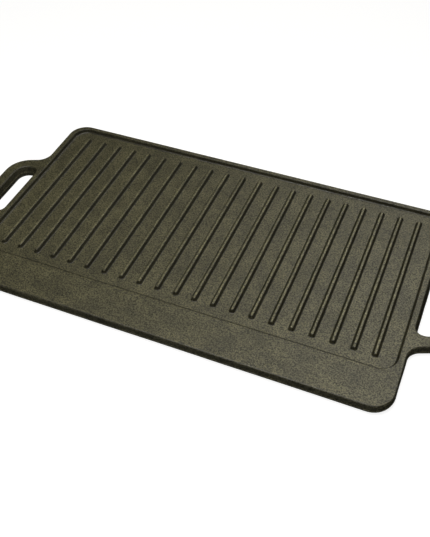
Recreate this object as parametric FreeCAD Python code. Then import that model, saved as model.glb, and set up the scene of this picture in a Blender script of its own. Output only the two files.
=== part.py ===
"""Reversible cast-iron griddle: ribbed grill side up, smooth griddle side down.

The whole object is one pour of iron: a rectangular plate with a loop handle at each end.
Frame: +X along the length, +Y towards the back rim, +Z up. The origin is the centre of the
plate on the surface that it rests on. Units are millimetres.
"""
import FreeCAD
import Part
import math
import os

# Plate. Outline sizes are taken at the parting line, half way up the side.
PLATE_LENGTH = 440.0
PLATE_DEPTH = 254.0
SIDE_HEIGHT = 12.7
PLATE_CORNER_RADIUS = 20.0
SIDE_DRAFT = 0.7            # how far the side leans in from the parting line to either face
TOP_EDGE_RADIUS = 1.5
BOTTOM_EDGE_RADIUS = 6.0

# Loop handles, one at each end, centred on the plate's depth.
HANDLE_REACH = 34.0         # from the end of the plate to the far side of the bar
HANDLE_BAR_WIDTH = 14.4
HANDLE_ARM_WIDTH = 12.4     # measured along the depth, level with the bar's inner side
HANDLE_SPLAY = 14.0         # how much each arm spreads from the bar's far side to the plate
HANDLE_ROOT_RADIUS = 15.0
HANDLE_SHOULDER_RADIUS = 28.0
FINGER_GAP_LENGTH = 70.0
FINGER_GAP_PLATE_WEB = 1.5  # iron left on the end of the plate inside the handle
FINGER_GAP_PLATE_RADIUS = 5.5
FINGER_GAP_END_FLAT = 0.6   # straight stretch at each end of the gap, between its two corners
FINGER_GAP_TOP_FLARE = 2.6  # how far the gap's wall slopes back from the parting line upward
FINGER_GAP_BOTTOM_FLARE = 0.5
FINGER_GAP_EDGE_RADIUS = 1.5

# Grill side: a recessed field of ribs, with a rim on three sides and a wide land in front.
RECESS_DEPTH = 4.2
SIDE_RIM_WIDTH = 6.8
BACK_RIM_WIDTH = 5.6
FRONT_LAND_DEPTH = 41.2
RECESS_CORNER_RADIUS = 15.5
RECESS_WALL_DRAFT = 1.0
RECESS_FOOT_RADIUS = 2.0
RECESS_EDGE_RADIUS = 0.8

# Ribs. The gaps are from the top edge of the recess to the ribs' feet or the last rib's middle.
RIB_COUNT = 21
RIB_FRONT_GAP = 12.3
RIB_BACK_GAP = 12.9
RIB_SIDE_GAP = 20.2
RIB_FOOT_WIDTH = 5.8
RIB_TOP_WIDTH = 2.4
RIB_HEIGHT = 3.4
RIB_CORNER_RADIUS = 2.4
RIB_EDGE_RADIUS = 0.8
RIB_FOOT_RADIUS = 1.1

# Griddle side: a smooth cooking face, set back behind a lip that the plate rests on.
GRIDDLE_RECESS_DEPTH = 3.5
GRIDDLE_LIP_WIDTH = 12.0
GRIDDLE_CORNER_RADIUS = 12.0
GRIDDLE_WALL_DRAFT = 1.0
GRIDDLE_FOOT_RADIUS = 1.8
GRIDDLE_EDGE_RADIUS = 0.8

# Worked out from the sizes above.
HALF_LENGTH = PLATE_LENGTH / 2
HALF_DEPTH = PLATE_DEPTH / 2
PARTING_HEIGHT = SIDE_HEIGHT / 2
FLOOR_HEIGHT = SIDE_HEIGHT - RECESS_DEPTH
RECESS_FRONT = -HALF_DEPTH + FRONT_LAND_DEPTH
RECESS_BACK = HALF_DEPTH - BACK_RIM_WIDTH
RECESS_HALF_LENGTH = HALF_LENGTH - SIDE_RIM_WIDTH
RIB_PITCH = 2 * (RECESS_HALF_LENGTH - RIB_SIDE_GAP) / (RIB_COUNT - 1)
RIB_FRONT = RECESS_FRONT + RIB_FRONT_GAP
RIB_BACK = RECESS_BACK - RIB_BACK_GAP
GAP_FAR_SIDE = HANDLE_REACH - HANDLE_BAR_WIDTH
GAP_WIDTH = GAP_FAR_SIDE - FINGER_GAP_PLATE_WEB
FINGER_GAP_BAR_RADIUS = GAP_WIDTH - FINGER_GAP_PLATE_RADIUS - FINGER_GAP_END_FLAT
BOTTOM_ROUNDING = min(BOTTOM_EDGE_RADIUS, 0.95 * PARTING_HEIGHT)
OVERSHOOT = 2.0             # how far a cutting tool stands proud of the face that it cuts
TINY = 1e-4


def unit(start, end):
    """Return the direction from one corner to the next."""
    length = math.hypot(end[0] - start[0], end[1] - start[1])
    return ((end[0] - start[0]) / length, (end[1] - start[1]) / length)


def grown(corners, margin):
    """Move every side of an anticlockwise outline outward by margin, arcs included."""
    moved = []
    for index, (x, y, radius) in enumerate(corners):
        before = unit(corners[index - 1], (x, y))
        after = unit((x, y), corners[(index + 1) % len(corners)])
        turn = before[0] * after[1] - before[1] * after[0]
        shift = margin / (1 + before[0] * after[0] + before[1] * after[1])
        new_x = x + shift * (before[1] + after[1])
        new_y = y - shift * (before[0] + after[0])
        moved.append((new_x, new_y, radius + margin * math.copysign(1, turn)))
    return moved


def outline(corners, height):
    """Make a closed wire whose corners are rounded to their own radii."""
    arcs = []
    for index, (x, y, radius) in enumerate(corners):
        before = unit(corners[index - 1], (x, y))
        after = unit((x, y), corners[(index + 1) % len(corners)])
        half_turn = math.acos(before[0] * after[0] + before[1] * after[1]) / 2
        reach = radius * math.tan(half_turn)
        sagitta = radius * (1 / math.cos(half_turn) - 1)
        inward = unit((0, 0), (after[0] - before[0], after[1] - before[1]))
        start = FreeCAD.Vector(x - reach * before[0], y - reach * before[1], height)
        middle = FreeCAD.Vector(x + sagitta * inward[0], y + sagitta * inward[1], height)
        end = FreeCAD.Vector(x + reach * after[0], y + reach * after[1], height)
        arcs.append((start, middle, end))
    edges = []
    for index, (start, middle, end) in enumerate(arcs):
        edges.append(Part.Arc(start, middle, end).toShape())
        next_start = arcs[(index + 1) % len(arcs)][0]
        edges.append(Part.LineSegment(end, next_start).toShape())
    return Part.Wire(edges)


def drafted_block(levels):
    """Stack ruled blocks between levels, each level a height and its rounded corners."""
    block = None
    for (low, low_corners), (high, high_corners) in zip(levels, levels[1:]):
        wires = [outline(low_corners, low), outline(high_corners, high)]
        layer = Part.makeLoft(wires, True, True)
        block = layer if block is None else block.fuse(layer)
    return block.removeSplitter()


def rectangle(x_low, x_high, y_low, y_high, radius):
    """Return the four rounded corners of a rectangle, anticlockwise."""
    return [
        (x_low, y_low, radius),
        (x_high, y_low, radius),
        (x_high, y_high, radius),
        (x_low, y_high, radius),
    ]


def face_edges(solid, height, outer):
    """Return the edges of the flat face at a height: its outer loop, or all its inner loops."""
    edges = []
    for face in solid.Faces:
        box = face.BoundBox
        if box.ZMax - box.ZMin > TINY or abs(box.ZMin - height) > TINY:
            continue
        for wire in face.Wires:
            if wire.isSame(face.OuterWire) == outer:
                edges.extend(wire.Edges)
    return edges


def inner_edges(solid, height, in_handles):
    """Return the flat face's inner edges, either those in the handles or those in the plate."""
    plate_end = HALF_LENGTH - SIDE_RIM_WIDTH / 2
    edges = face_edges(solid, height, False)
    return [edge for edge in edges if (abs(edge.CenterOfMass.x) > plate_end) == in_handles]


def body_corners():
    """Corners of the plate and its two handles as one outline, anticlockwise."""
    bar = HALF_LENGTH + HANDLE_REACH
    slope = HANDLE_SPLAY / HANDLE_REACH
    arm = FINGER_GAP_LENGTH / 2 + HANDLE_ARM_WIDTH
    root = arm + slope * GAP_FAR_SIDE
    shoulder = arm - slope * HANDLE_BAR_WIDTH
    half = [
        (-HALF_LENGTH, -root, HANDLE_ROOT_RADIUS),
        (-HALF_LENGTH, -HALF_DEPTH, PLATE_CORNER_RADIUS),
        (HALF_LENGTH, -HALF_DEPTH, PLATE_CORNER_RADIUS),
        (HALF_LENGTH, -root, HANDLE_ROOT_RADIUS),
        (bar, -shoulder, HANDLE_SHOULDER_RADIUS),
        (bar, shoulder, HANDLE_SHOULDER_RADIUS),
    ]
    return half + [(-x, -y, radius) for x, y, radius in half]


def solid_body():
    """Plate and handles before anything is cut, with both long edges rounded."""
    widest = body_corners()
    leaning = grown(widest, -SIDE_DRAFT)
    body = drafted_block([(0, leaning), (PARTING_HEIGHT, widest), (SIDE_HEIGHT, leaning)])
    body = body.makeFillet(TOP_EDGE_RADIUS, face_edges(body, SIDE_HEIGHT, True))
    return body.makeFillet(BOTTOM_ROUNDING, face_edges(body, 0, True))


def gap_corners(side, height):
    """Corners of one finger gap at a height: it opens out from the parting line both ways."""
    share = (height - PARTING_HEIGHT) / PARTING_HEIGHT
    flare = share * FINGER_GAP_TOP_FLARE if share > 0 else -share * FINGER_GAP_BOTTOM_FLARE
    near = HALF_LENGTH + FINGER_GAP_PLATE_WEB - flare
    far = HALF_LENGTH + GAP_FAR_SIDE + flare
    half = FINGER_GAP_LENGTH / 2 + flare
    return [
        (side * near, -side * half, FINGER_GAP_PLATE_RADIUS + flare),
        (side * far, -side * half, FINGER_GAP_BAR_RADIUS + flare),
        (side * far, side * half, FINGER_GAP_BAR_RADIUS + flare),
        (side * near, side * half, FINGER_GAP_PLATE_RADIUS + flare),
    ]


def finger_gap(side):
    """Tool that cuts the gap inside one loop handle."""
    heights = (-OVERSHOOT, PARTING_HEIGHT, SIDE_HEIGHT + OVERSHOOT)
    return drafted_block([(height, gap_corners(side, height)) for height in heights])


def tray(corners, floor, face, draft, foot_radius):
    """Tool for a shallow recess between floor and face, with a rounded foot to its wall."""
    away = math.copysign(OVERSHOOT, face - floor)
    overgrowth = OVERSHOOT * draft / abs(face - floor)
    levels = [(floor, grown(corners, -draft)), (face + away, grown(corners, overgrowth))]
    block = drafted_block(levels)
    return block.makeFillet(foot_radius, face_edges(block, floor, True))


def grill_recess():
    """Tool for the recess that the ribs stand in."""
    corners = rectangle(
        -RECESS_HALF_LENGTH, RECESS_HALF_LENGTH, RECESS_FRONT, RECESS_BACK, RECESS_CORNER_RADIUS
    )
    return tray(corners, FLOOR_HEIGHT, SIDE_HEIGHT, RECESS_WALL_DRAFT, RECESS_FOOT_RADIUS)


def griddle_recess():
    """Tool for the smooth cooking face under the plate."""
    half_length = HALF_LENGTH - GRIDDLE_LIP_WIDTH
    half_depth = HALF_DEPTH - GRIDDLE_LIP_WIDTH
    corners = rectangle(-half_length, half_length, -half_depth, half_depth, GRIDDLE_CORNER_RADIUS)
    return tray(corners, GRIDDLE_RECESS_DEPTH, 0, GRIDDLE_WALL_DRAFT, GRIDDLE_FOOT_RADIUS)


def rib(index):
    """One rib, drafted on all four sides, standing on the floor of the recess."""
    x_middle = (index - (RIB_COUNT - 1) / 2) * RIB_PITCH
    foot = rectangle(
        x_middle - RIB_FOOT_WIDTH / 2,
        x_middle + RIB_FOOT_WIDTH / 2,
        RIB_FRONT,
        RIB_BACK,
        RIB_CORNER_RADIUS,
    )
    crest = grown(foot, (RIB_TOP_WIDTH - RIB_FOOT_WIDTH) / 2)
    top = FLOOR_HEIGHT + RIB_HEIGHT
    solid = drafted_block([(FLOOR_HEIGHT, foot), (top, crest)])
    return solid.makeFillet(RIB_EDGE_RADIUS, face_edges(solid, top, True))


def griddle():
    """The finished casting."""
    body = solid_body().cut(grill_recess()).cut(griddle_recess())
    body = body.cut([finger_gap(side) for side in (-1, 1)])
    body = body.fuse([rib(index) for index in range(RIB_COUNT)])
    body = body.makeFillet(RIB_FOOT_RADIUS, face_edges(body, FLOOR_HEIGHT, False))
    for height in (SIDE_HEIGHT, 0):
        body = body.makeFillet(FINGER_GAP_EDGE_RADIUS, inner_edges(body, height, True))
    body = body.makeFillet(RECESS_EDGE_RADIUS, inner_edges(body, SIDE_HEIGHT, False))
    return body.makeFillet(GRIDDLE_EDGE_RADIUS, inner_edges(body, 0, False))


def main():
    os.makedirs("parts", exist_ok=True)
    griddle().exportStep("parts/griddle.step")


main()
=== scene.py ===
"""Looks of the reversible griddle plate: one oiled sand casting on a pale studio floor.

Everything is in metres, in the row frame: +X along the plate, +Y towards its back rim, +Z up.
"""

import math

import bmesh
import bpy
from mathutils import Matrix, Vector, noise


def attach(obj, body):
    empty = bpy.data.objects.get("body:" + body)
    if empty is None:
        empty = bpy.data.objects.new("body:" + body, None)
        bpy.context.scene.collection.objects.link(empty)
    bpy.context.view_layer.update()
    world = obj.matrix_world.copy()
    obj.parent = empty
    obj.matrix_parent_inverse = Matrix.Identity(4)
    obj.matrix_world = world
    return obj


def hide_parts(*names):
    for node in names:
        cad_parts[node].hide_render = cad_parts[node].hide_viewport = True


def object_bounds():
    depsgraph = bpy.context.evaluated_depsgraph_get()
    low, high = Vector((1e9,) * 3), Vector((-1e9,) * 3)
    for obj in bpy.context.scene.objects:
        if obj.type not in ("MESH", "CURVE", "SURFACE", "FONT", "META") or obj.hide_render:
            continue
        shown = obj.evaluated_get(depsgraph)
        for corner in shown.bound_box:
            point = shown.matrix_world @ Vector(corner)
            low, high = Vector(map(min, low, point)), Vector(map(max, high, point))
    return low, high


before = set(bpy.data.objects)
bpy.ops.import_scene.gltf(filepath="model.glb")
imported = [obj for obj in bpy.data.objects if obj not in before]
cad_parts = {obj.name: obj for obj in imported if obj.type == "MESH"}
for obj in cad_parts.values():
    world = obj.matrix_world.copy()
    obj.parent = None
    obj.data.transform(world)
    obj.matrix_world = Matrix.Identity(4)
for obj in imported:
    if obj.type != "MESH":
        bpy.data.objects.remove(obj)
cad_low, cad_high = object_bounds()
CENTRE = (cad_low + cad_high) / 2
LENGTH, DEPTH, HEIGHT = cad_high - cad_low

# Camera, as the photograph has it.
AZIMUTH = math.radians(24.55)
ELEVATION = math.radians(47.42)
ROLL = math.radians(-2.35)
CAMERA_DISTANCE = 1.42 * LENGTH
LENS = 49.5
AIM = CENTRE + Vector((0.0438 * LENGTH, -0.107 * DEPTH, 0.17 * HEIGHT))

# Studio.
WHITE = (1, 1, 1, 1)
WARM = (1, 0.97, 0.88)
FLOOR_SIDE = 12 * LENGTH
FLOOR_GREY = (0.25, 0.25, 0.25, 1)
FLOOR_GLOW = 0.88           # lifts the grey floor to white

# Casting surface: nothing here reaches outside the CAD box.
JOIN_DISTANCE = 1e-6        # vertices closer than this are one
FLAT_ANGLE = 0.002          # radians: flatter edges between faces go before the cuts
CUT_SPACING = 0.007
CUT_SNAP = 1e-5             # an even cut uses a vertex this near instead of adding one
SWELL = 0.00012             # slow unevenness left by the sand mould
SWELL_LENGTH = 0.045
DIMPLE = 0.00005            # shorter unevenness on top of it
DIMPLE_LENGTH = 0.009
UNEVENNESS_SEED = 7         # without it every run would bend the iron differently
PARTING_HEIGHT = (cad_low.z + cad_high.z) / 2
SEAM_HEIGHT = 0.0004        # the parting line stands proud of the side walls
SEAM_HALF_WIDTH = 0.0005
SEAM_WEAR_LENGTH = 0.012

# Roll of the front land's back edge. Across it, 0 is where it starts and 1 is the edge.
LAND_ROLL = 0.0016          # width over which the land rolls over into the recess
LAND_DROP = 0.00045
ROLL_REACH = 0.399 * LENGTH  # it ends in the recess's corners
ROLL_CUTS = 4
ROLL_END = 3                # just past the foot of the recess's wall
ROLL_FOOT = 0.7             # share of the height, just above the recess's floor

# Iron.
DARK_IRON = (0.055, 0.052, 0.029, 1)
LIGHT_IRON = (0.085, 0.080, 0.044, 1)
TEXTURE_TURN = (0.6, 0.4, 0.2)  # radians: keeps every flat face off the noise's own grid
GRAIN_HEIGHT = 0.0004
# Painted shade: steep walls keep only this share of the iron's colour.
WALL_PAINTED_SHADE = 0.32
RIB_TOP = 0.937 * HEIGHT
# Painted highlight: the iron's colour is lifted by this factor in a band round the rib crests.
CREST_PAINTED_HIGHLIGHT = 1.7
CREST_STARTS = (0.94 * RIB_TOP, 0.98 * RIB_TOP)
CREST_ENDS = (1.01 * RIB_TOP, 1.03 * RIB_TOP)
# Painted highlight: the iron's colour is lifted by this factor in a band round the parting seam.
SEAM_PAINTED_HIGHLIGHT = 4.0
SEAM_STARTS = (0.46 * HEIGHT, 0.48 * HEIGHT)
SEAM_ENDS = (0.52 * HEIGHT, 0.54 * HEIGHT)


def cut(mesh, place, normal, snap=JOIN_DISTANCE):
    """Cut the whole mesh by the plane through a place."""
    everything = mesh.verts[:] + mesh.edges[:] + mesh.faces[:]
    bmesh.ops.bisect_plane(mesh, geom=everything, dist=snap, plane_co=place, plane_no=normal)


def cut_evenly(mesh, axis):
    """Cut the mesh by even planes across one axis, so that its long flat faces can bend."""
    count = round((cad_high[axis] - cad_low[axis]) / CUT_SPACING)
    normal = Vector([float(index == axis) for index in range(3)])
    for step in range(1, count):
        cut(mesh, cad_low.lerp(cad_high, step / count), normal, snap=CUT_SNAP)


def raise_parting_line(mesh):
    """Raise the seam that the two halves of the mould leave round every outer wall."""
    for side in (-1, 1):
        cut(mesh, Vector((0, 0, PARTING_HEIGHT + side * SEAM_HALF_WIDTH)), Vector((0, 0, 1)))
    mesh.normal_update()
    for vertex in mesh.verts:
        if abs(vertex.co.z - PARTING_HEIGHT) < JOIN_DISTANCE:
            outward = Vector((vertex.normal.x, vertex.normal.y, 0)).normalized()
            worn = 0.5 + 0.5 * noise.noise(vertex.co / SEAM_WEAR_LENGTH)
            vertex.co += SEAM_HEIGHT * worn * outward


def land_edge(mesh):
    """Find how far back the front land's flat top reaches, round the middle of the plate."""
    flat = 0.995 * HEIGHT
    front = [vertex.co for vertex in mesh.verts if vertex.co.z > flat and vertex.co.y < CENTRE.y]
    return max(place.y for place in front if abs(place.x - CENTRE.x) < LENGTH / 4)


def roll_land_edge(mesh):
    """Roll the front land's back edge over into the recess, as the mould's soft edge leaves it."""
    edge = land_edge(mesh)
    for step in range(ROLL_CUTS + 1):
        cut(mesh, Vector((0, edge - LAND_ROLL * step / ROLL_CUTS, 0)), Vector((0, 1, 0)))
    for vertex in mesh.verts:
        beside_recess = abs(vertex.co.x - CENTRE.x) < ROLL_REACH
        across = (vertex.co.y - edge) / LAND_ROLL + 1
        above_foot = (vertex.co.z / HEIGHT - ROLL_FOOT) / (1 - ROLL_FOOT)
        if beside_recess and 0 < across < ROLL_END and above_foot > 0:
            vertex.co.z -= LAND_DROP * min(across, 1) ** 2 * above_foot


def unevenness(point):
    """Small shift of the iron at a point, smooth enough not to crease."""
    slow = noise.noise_vector(point / SWELL_LENGTH)
    short = noise.noise_vector(point / DIMPLE_LENGTH)
    return SWELL * slow + DIMPLE * short


def fit_to_cad(data):
    """Scale the mesh to fill exactly the box of the CAD model."""
    for axis in range(3):
        low = min(vertex.co[axis] for vertex in data.vertices)
        high = max(vertex.co[axis] for vertex in data.vertices)
        for vertex in data.vertices:
            share = (vertex.co[axis] - low) / (high - low)
            vertex.co[axis] = cad_low[axis] + share * (cad_high[axis] - cad_low[axis])


def casting_mesh(node):
    """Refine the CAD node's mesh and give it the slight unevenness of sand-cast iron."""
    mesh = bmesh.new()
    mesh.from_mesh(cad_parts[node].data)
    bmesh.ops.remove_doubles(mesh, verts=mesh.verts, dist=JOIN_DISTANCE)
    bmesh.ops.dissolve_limit(mesh, angle_limit=FLAT_ANGLE, verts=mesh.verts, edges=mesh.edges)
    for axis in (0, 1):
        cut_evenly(mesh, axis)
    raise_parting_line(mesh)
    roll_land_edge(mesh)
    bmesh.ops.triangulate(mesh, faces=mesh.faces)
    data = bpy.data.meshes.new("casting")
    mesh.to_mesh(data)
    mesh.free()
    noise.seed_set(UNEVENNESS_SEED)
    for vertex in data.vertices:
        vertex.co += unevenness(vertex.co)
    fit_to_cad(data)
    data.shade_smooth()
    return data


def casting(node, material):
    """Make the visible casting, which replaces the CAD node."""
    piece = bpy.data.objects.new("casting", casting_mesh(node))
    piece.data.materials.append(material)
    bpy.context.scene.collection.objects.link(piece)
    modifier = piece.modifiers.new("flat faces", "WEIGHTED_NORMAL")
    modifier.keep_sharp = True
    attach(piece, "root")
    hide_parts(node)


def map_range(tree, source, low, high, to_low, to_high):
    """Map a node's output from one range onto another, clamped, and return the new output."""
    node = tree.nodes.new("ShaderNodeMapRange")
    for name, value in (("From Min", low), ("From Max", high), ("To Min", to_low), ("To Max", to_high)):
        node.inputs[name].default_value = value
    tree.links.new(source, node.inputs["Value"])
    return node.outputs["Result"]


def multiply(tree, first, second):
    """Multiply two outputs and return the product."""
    node = tree.nodes.new("ShaderNodeMath")
    node.operation = "MULTIPLY"
    tree.links.new(first, node.inputs[0])
    tree.links.new(second, node.inputs[1])
    return node.outputs["Value"]


def noise_texture(tree, place, scale, detail, roughness):
    """Add a noise texture and return its value."""
    node = tree.nodes.new("ShaderNodeTexNoise")
    node.inputs["Scale"].default_value = scale
    node.inputs["Detail"].default_value = detail
    node.inputs["Roughness"].default_value = roughness
    tree.links.new(place, node.inputs["Vector"])
    return node.outputs["Fac"]


def mottled_tint(tree, place):
    """Colour of the iron, which drifts slowly between a dark and a light olive brown."""
    mottle = noise_texture(tree, place, scale=45.0, detail=5.0, roughness=0.65)
    tint = tree.nodes.new("ShaderNodeValToRGB")
    dark, light = tint.color_ramp.elements
    dark.position = 0.38
    dark.color = DARK_IRON
    light.position = 0.62
    light.color = LIGHT_IRON
    tree.links.new(mottle, tint.inputs["Fac"])
    return tint.outputs["Color"]


def painted_wall_shade(tree):
    """Factor of painted shade on what leans away from level: steep walls and rounded edges come out
    darker.
    """
    facing = tree.nodes.new("ShaderNodeNewGeometry")
    lean = tree.nodes.new("ShaderNodeSeparateXYZ")
    tree.links.new(facing.outputs["Normal"], lean.inputs["Vector"])
    level = tree.nodes.new("ShaderNodeMath")
    level.operation = "ABSOLUTE"
    tree.links.new(lean.outputs["Z"], level.inputs[0])
    return map_range(tree, level.outputs["Value"], low=0.96, high=0.995, to_low=WALL_PAINTED_SHADE, to_high=1.0)


def light_band(tree, height, starts, ends, lighter):
    """Factor above 1 in a band of heights, which starts over one range and ends over another."""
    rising = map_range(tree, height, *starts, to_low=1.0, to_high=lighter)
    falling = map_range(tree, height, *ends, to_low=1.0, to_high=1 / lighter)
    return multiply(tree, rising, falling)


def painted_highlights(tree, place):
    """Factor of painted highlight in two bands of height: the rib crests and the parting seam."""
    spot = tree.nodes.new("ShaderNodeSeparateXYZ")
    tree.links.new(place, spot.inputs["Vector"])
    crest = light_band(tree, spot.outputs["Z"], CREST_STARTS, CREST_ENDS, CREST_PAINTED_HIGHLIGHT)
    seam = light_band(tree, spot.outputs["Z"], SEAM_STARTS, SEAM_ENDS, SEAM_PAINTED_HIGHLIGHT)
    return multiply(tree, crest, seam)


def iron_colour(tree, place, turned, grain):
    """Mottled tint of the iron, scaled by its speckle, by painted shade on its walls and by painted
    highlights on its rib crests and seam.
    """
    speckle = map_range(tree, grain, low=0.38, high=0.62, to_low=0.2, to_high=1.8)
    # The speckle, the painted shade on walls and the painted highlights on crests and seam together
    # scale the tint.
    strength = multiply(tree, multiply(tree, speckle, painted_wall_shade(tree)), painted_highlights(tree, place))
    colour = tree.nodes.new("ShaderNodeVectorMath")
    colour.operation = "SCALE"
    tree.links.new(mottled_tint(tree, turned), colour.inputs[0])
    tree.links.new(strength, colour.inputs["Scale"])
    return colour.outputs["Vector"]


def turned_place(tree, place):
    """Place on the object, in axes that lean away from the plate's faces."""
    mapping = tree.nodes.new("ShaderNodeMapping")
    mapping.inputs["Rotation"].default_value = TEXTURE_TURN
    tree.links.new(place, mapping.inputs["Vector"])
    return mapping.outputs["Vector"]


def seasoned_iron():
    """Olive-brown oiled iron: sand grain, slow mottling, painted shade on the walls, painted highlights
    on the rib crests and seam.
    """
    material = bpy.data.materials.new("seasoned_iron")
    material.use_nodes = True
    tree = material.node_tree
    shader = tree.nodes["Principled BSDF"]
    place = tree.nodes.new("ShaderNodeTexCoord").outputs["Object"]
    turned = turned_place(tree, place)
    grain = noise_texture(tree, turned, scale=750.0, detail=3.0, roughness=0.6)
    roughness = map_range(tree, grain, low=0.4, high=0.6, to_low=0.50, to_high=0.36)
    tree.links.new(iron_colour(tree, place, turned, grain), shader.inputs["Base Color"])
    tree.links.new(roughness, shader.inputs["Roughness"])
    shader.inputs["Specular IOR Level"].default_value = 0.5

    bump = tree.nodes.new("ShaderNodeBump")
    bump.inputs["Distance"].default_value = GRAIN_HEIGHT
    tree.links.new(grain, bump.inputs["Height"])
    tree.links.new(bump.outputs["Normal"], shader.inputs["Normal"])
    return material


def floor():
    """Pale floor under the object."""
    bpy.ops.mesh.primitive_plane_add(size=FLOOR_SIDE, location=(CENTRE.x, CENTRE.y, cad_low.z))
    plane = bpy.context.object
    plane.name = "floor"
    material = bpy.data.materials.new("floor")
    material.use_nodes = True
    shader = material.node_tree.nodes["Principled BSDF"]
    shader.inputs["Base Color"].default_value = FLOOR_GREY
    shader.inputs["Roughness"].default_value = 0.9
    shader.inputs["Emission Color"].default_value = WHITE
    shader.inputs["Emission Strength"].default_value = FLOOR_GLOW
    plane.data.materials.append(material)
    plane.visible_glossy = False


def camera():
    """Camera at the photograph's viewing angle."""
    data = bpy.data.cameras.new("camera")
    data.lens = LENS
    item = bpy.data.objects.new("camera", data)
    bpy.context.scene.collection.objects.link(item)
    back = Vector((
        math.sin(AZIMUTH) * math.cos(ELEVATION),
        -math.cos(AZIMUTH) * math.cos(ELEVATION),
        math.sin(ELEVATION),
    ))
    right = Vector((math.cos(AZIMUTH), math.sin(AZIMUTH), 0))
    turn = Matrix((right, back.cross(right), back)).transposed() @ Matrix.Rotation(ROLL, 3, "Z")
    item.matrix_world = Matrix.Translation(AIM + CAMERA_DISTANCE * back) @ turn.to_4x4()
    bpy.context.scene.camera = item


def softbox(name, direction, distance, width, height, power):
    """Warm area light that faces the object from a direction."""
    data = bpy.data.lights.new(name, "AREA")
    data.shape = "RECTANGLE"
    data.size = width
    data.size_y = height
    data.energy = power
    data.color = WARM
    item = bpy.data.objects.new(name, data)
    bpy.context.scene.collection.objects.link(item)
    towards = Vector(direction).normalized()
    item.location = CENTRE + distance * towards
    item.rotation_mode = "QUATERNION"
    item.rotation_quaternion = towards.to_track_quat("Z", "Y")
    item.visible_camera = False
    return item


def studio():
    """White surroundings that light nothing, a soft light overhead and one that gives the sheen."""
    world = bpy.data.worlds.new("studio")
    world.use_nodes = True
    background = world.node_tree.nodes["Background"]
    background.inputs["Color"].default_value = WHITE
    background.inputs["Strength"].default_value = 1.0
    world.cycles_visibility.diffuse = False
    world.cycles_visibility.glossy = False
    bpy.context.scene.world = world
    softbox("overhead", (0.0, -0.28, 1), distance=1.05, width=0.5, height=0.5, power=9.9)
    sheen = softbox("sheen", (0.28, 0.62, 0.88), distance=1.2, width=1.0, height=0.5, power=6.2)
    sheen.visible_diffuse = False
    bpy.context.scene.view_settings.view_transform = "Standard"


casting("griddle", seasoned_iron())
floor()
camera()
studio()
